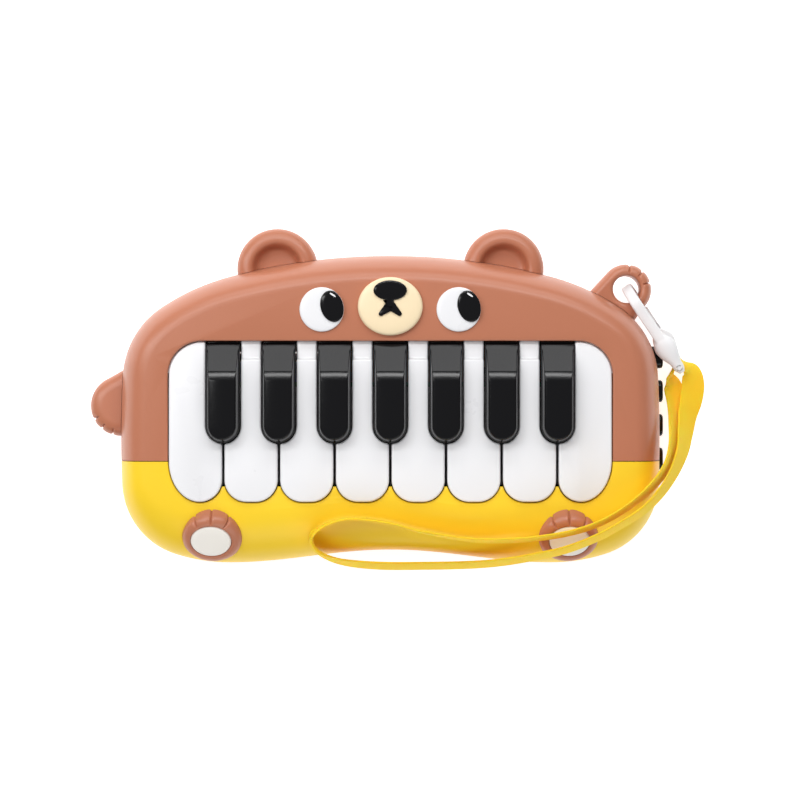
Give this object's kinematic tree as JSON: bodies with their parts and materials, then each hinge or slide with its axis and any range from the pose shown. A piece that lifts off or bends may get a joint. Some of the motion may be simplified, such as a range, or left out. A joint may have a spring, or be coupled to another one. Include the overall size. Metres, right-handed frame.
{
  "type": "toy electronic keyboard",
  "caption": "Bear-shaped toy electronic keyboard with hinged white and black keys, side buttons, a battery bay and a clip-on wrist strap.",
  "frame": {"origin": "middle of the flat back of the case, in the plane it rests on", "axes": "+X to the player's right, +Y from the belly towards the ears, +Z out of the back and through the keys"},
  "size_m": [0.2653, 0.1471, 0.0508],
  "materials": {
    "brown_plastic": "satin moulded ABS, light terracotta brown",
    "yellow_plastic": "satin moulded ABS, warm yellow",
    "white_plastic": "glossy moulded ABS, cool white",
    "black_plastic": "glossy moulded ABS, black",
    "cream_plastic": "satin moulded plastic, cream",
    "clip_plastic": "semi-matt moulded acetal, white",
    "strap_webbing": "plain-woven polyester webbing, yellow",
    "green_board": "solder mask over glass-fibre board",
    "grey_silicone": "moulded silicone keypad rubber",
    "steel": "nickel-plated steel",
    "cell_wrap": "shrink film over a steel can"
  },
  "bodies": {
    "case": {"head_cover": "brown_plastic", "belly_cover": "yellow_plastic", "back_cover": "brown_plastic", "muzzle": "cream_plastic", "nose": "black_plastic", "arm_left": "brown_plastic", "arm_right": "brown_plastic", "ear_left": "brown_plastic", "ear_right": "brown_plastic", "foot_left": "brown_plastic", "foot_right": "brown_plastic", "foot_pad_left": "cream_plastic", "foot_pad_right": "cream_plastic", "eye_left": "white_plastic", "eye_right": "white_plastic", "pupil_left": "black_plastic", "pupil_right": "black_plastic", "side_button_board": "green_board", "main_board": "green_board", "dome_strip": "grey_silicone", "key_chassis": "black_plastic", "key_pivot_rod": "steel", "speaker": "black_plastic", "battery_cell_1": "cell_wrap", "battery_cell_2": "cell_wrap", "battery_cell_3": "cell_wrap", "contact_plate_left": "steel", "contact_plate_right": "steel", "case_screw_1": "steel", "case_screw_2": "steel", "case_screw_3": "steel", "case_screw_4": "steel", "strap_loop": "strap_webbing"},
    "white_key_1": {"white_key_1": "white_plastic"},
    "white_key_2": {"white_key_2": "white_plastic"},
    "white_key_3": {"white_key_3": "white_plastic"},
    "white_key_4": {"white_key_4": "white_plastic"},
    "white_key_5": {"white_key_5": "white_plastic"},
    "white_key_6": {"white_key_6": "white_plastic"},
    "white_key_7": {"white_key_7": "white_plastic"},
    "white_key_8": {"white_key_8": "white_plastic"},
    "black_key_1": {"black_key_1": "black_plastic"},
    "black_key_2": {"black_key_2": "black_plastic"},
    "black_key_3": {"black_key_3": "black_plastic"},
    "black_key_4": {"black_key_4": "black_plastic"},
    "black_key_5": {"black_key_5": "black_plastic"},
    "black_key_6": {"black_key_6": "black_plastic"},
    "black_key_7": {"black_key_7": "black_plastic"},
    "side_button_1": {"side_button_1": "black_plastic"},
    "side_button_2": {"side_button_2": "black_plastic"},
    "side_button_3": {"side_button_3": "black_plastic"},
    "side_button_4": {"side_button_4": "black_plastic"},
    "battery_door": {"battery_door": "brown_plastic", "battery_door_screw": "steel"},
    "clip": {"clip_hook": "clip_plastic", "strap_pin": "clip_plastic", "strap_end": "strap_webbing"},
    "clip_gate": {"clip_gate": "clip_plastic"}
  },
  "joints": [
    {"name": "white_key_1_hinge", "type": "hinge", "parent": "case", "child": "white_key_1", "pos_m": [-0.08225, 0.034, 0.0306], "axis": [1, 0, 0], "range_deg": [0, 2.4], "stiffness_Nm_per_rad": 0.9, "springref_deg": -1.72},
    {"name": "white_key_2_hinge", "type": "hinge", "parent": "case", "child": "white_key_2", "pos_m": [-0.05875, 0.034, 0.0306], "axis": [1, 0, 0], "range_deg": [0, 2.4], "stiffness_Nm_per_rad": 0.9, "springref_deg": -1.72},
    {"name": "white_key_3_hinge", "type": "hinge", "parent": "case", "child": "white_key_3", "pos_m": [-0.03525, 0.034, 0.0306], "axis": [1, 0, 0], "range_deg": [0, 2.4], "stiffness_Nm_per_rad": 0.9, "springref_deg": -1.72},
    {"name": "white_key_4_hinge", "type": "hinge", "parent": "case", "child": "white_key_4", "pos_m": [-0.01175, 0.034, 0.0306], "axis": [1, 0, 0], "range_deg": [0, 2.4], "stiffness_Nm_per_rad": 0.9, "springref_deg": -1.72},
    {"name": "white_key_5_hinge", "type": "hinge", "parent": "case", "child": "white_key_5", "pos_m": [0.01175, 0.034, 0.0306], "axis": [1, 0, 0], "range_deg": [0, 2.4], "stiffness_Nm_per_rad": 0.9, "springref_deg": -1.72},
    {"name": "white_key_6_hinge", "type": "hinge", "parent": "case", "child": "white_key_6", "pos_m": [0.03525, 0.034, 0.0306], "axis": [1, 0, 0], "range_deg": [0, 2.4], "stiffness_Nm_per_rad": 0.9, "springref_deg": -1.72},
    {"name": "white_key_7_hinge", "type": "hinge", "parent": "case", "child": "white_key_7", "pos_m": [0.05875, 0.034, 0.0306], "axis": [1, 0, 0], "range_deg": [0, 2.4], "stiffness_Nm_per_rad": 0.9, "springref_deg": -1.72},
    {"name": "white_key_8_hinge", "type": "hinge", "parent": "case", "child": "white_key_8", "pos_m": [0.08225, 0.034, 0.0306], "axis": [1, 0, 0], "range_deg": [0, 2.4], "stiffness_Nm_per_rad": 0.9, "springref_deg": -1.72},
    {"name": "black_key_1_hinge", "type": "hinge", "parent": "case", "child": "black_key_1", "pos_m": [-0.0705, 0.034, 0.0306], "axis": [1, 0, 0], "range_deg": [0, 3.4], "stiffness_Nm_per_rad": 0.5, "springref_deg": -1.72},
    {"name": "black_key_2_hinge", "type": "hinge", "parent": "case", "child": "black_key_2", "pos_m": [-0.047, 0.034, 0.0306], "axis": [1, 0, 0], "range_deg": [0, 3.4], "stiffness_Nm_per_rad": 0.5, "springref_deg": -1.72},
    {"name": "black_key_3_hinge", "type": "hinge", "parent": "case", "child": "black_key_3", "pos_m": [-0.0235, 0.034, 0.0306], "axis": [1, 0, 0], "range_deg": [0, 3.4], "stiffness_Nm_per_rad": 0.5, "springref_deg": -1.72},
    {"name": "black_key_4_hinge", "type": "hinge", "parent": "case", "child": "black_key_4", "pos_m": [0, 0.034, 0.0306], "axis": [1, 0, 0], "range_deg": [0, 3.4], "stiffness_Nm_per_rad": 0.5, "springref_deg": -1.72},
    {"name": "black_key_5_hinge", "type": "hinge", "parent": "case", "child": "black_key_5", "pos_m": [0.0235, 0.034, 0.0306], "axis": [1, 0, 0], "range_deg": [0, 3.4], "stiffness_Nm_per_rad": 0.5, "springref_deg": -1.72},
    {"name": "black_key_6_hinge", "type": "hinge", "parent": "case", "child": "black_key_6", "pos_m": [0.047, 0.034, 0.0306], "axis": [1, 0, 0], "range_deg": [0, 3.4], "stiffness_Nm_per_rad": 0.5, "springref_deg": -1.72},
    {"name": "black_key_7_hinge", "type": "hinge", "parent": "case", "child": "black_key_7", "pos_m": [0.0705, 0.034, 0.0306], "axis": [1, 0, 0], "range_deg": [0, 3.4], "stiffness_Nm_per_rad": 0.5, "springref_deg": -1.72},
    {"name": "side_button_1_press", "type": "slide", "parent": "case", "child": "side_button_1", "axis": [-1, 0, 0], "range_m": [0, 0.001], "stiffness_N_per_m": 600, "springref_m": -0.0005},
    {"name": "side_button_2_press", "type": "slide", "parent": "case", "child": "side_button_2", "axis": [-1, 0, 0], "range_m": [0, 0.001], "stiffness_N_per_m": 600, "springref_m": -0.0005},
    {"name": "side_button_3_press", "type": "slide", "parent": "case", "child": "side_button_3", "axis": [-1, 0, 0], "range_m": [0, 0.001], "stiffness_N_per_m": 600, "springref_m": -0.0005},
    {"name": "side_button_4_press", "type": "slide", "parent": "case", "child": "side_button_4", "axis": [-1, 0, 0], "range_m": [0, 0.001], "stiffness_N_per_m": 600, "springref_m": -0.0005},
    {"name": "battery_door_lift", "type": "slide", "parent": "case", "child": "battery_door", "axis": [0, 0, -1], "range_m": [0, 0.03]},
    {"name": "clip_swing", "type": "hinge", "parent": "case", "child": "clip", "pos_m": [0.1015, 0.0519, 0.015], "axis": [0, 0, 1], "range_deg": [0, 12], "deforming": ["strap_loop"]},
    {"name": "clip_gate_hinge", "type": "hinge", "parent": "clip", "child": "clip_gate", "pos_m": [0.11545, 0.03537, 0.00501], "axis": [0.8226, 0.5444, 0.1641], "range_deg": [0, 25], "stiffness_Nm_per_rad": 0.02, "springref_deg": -8.59}
  ]
}
